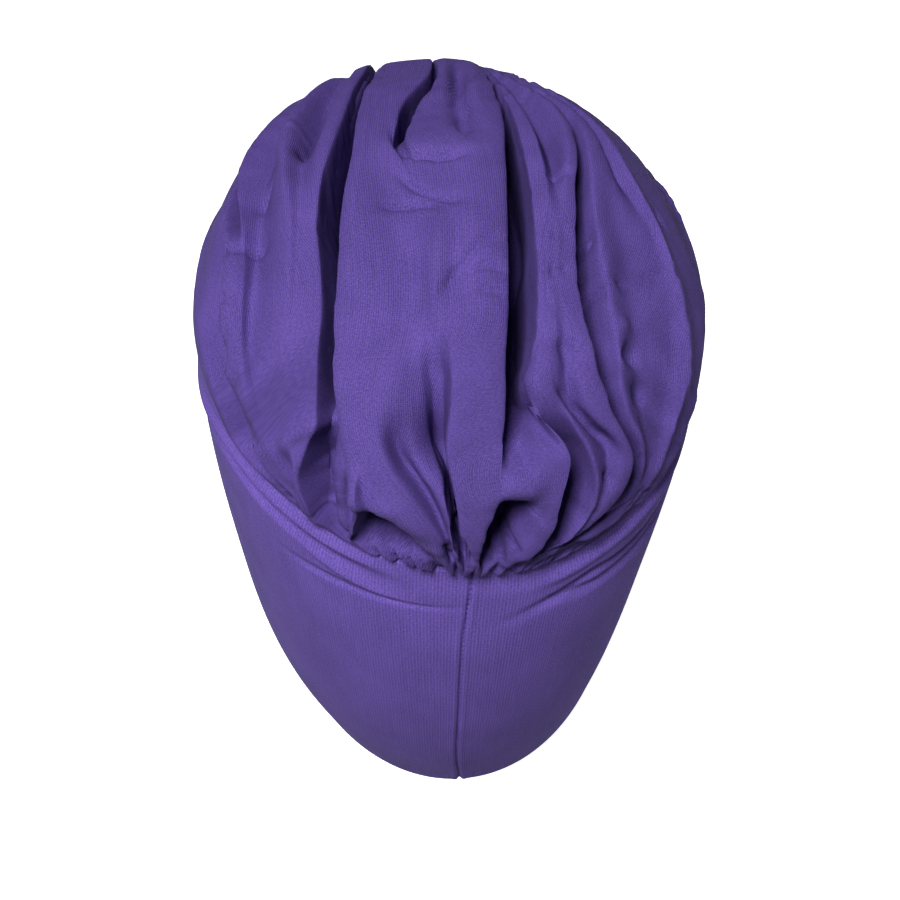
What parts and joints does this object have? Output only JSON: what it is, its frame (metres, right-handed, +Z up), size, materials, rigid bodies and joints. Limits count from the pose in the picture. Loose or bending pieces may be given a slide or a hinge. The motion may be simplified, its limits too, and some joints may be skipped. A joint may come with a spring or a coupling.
{
  "type": "turban",
  "caption": "Jersey turban with a deeply pleated crown panel gathered at the back and front onto a tall smooth double band, closed on top and open below for the head.",
  "frame": {"origin": "middle of the head space inside the turban, where the wearer's head carries it", "axes": "+Z up, the front of the turban faces -Y, the wearer's left is +X"},
  "size_m": [0.1642, 0.2052, 0.2219],
  "materials": {
    "crown_jersey": "soft matt viscose jersey, purple",
    "band_jersey": "soft matt viscose jersey, purple, stretched"
  },
  "bodies": {
    "root": {"crown_panel": "crown_jersey", "head_band": "band_jersey"}
  },
  "joints": []
}
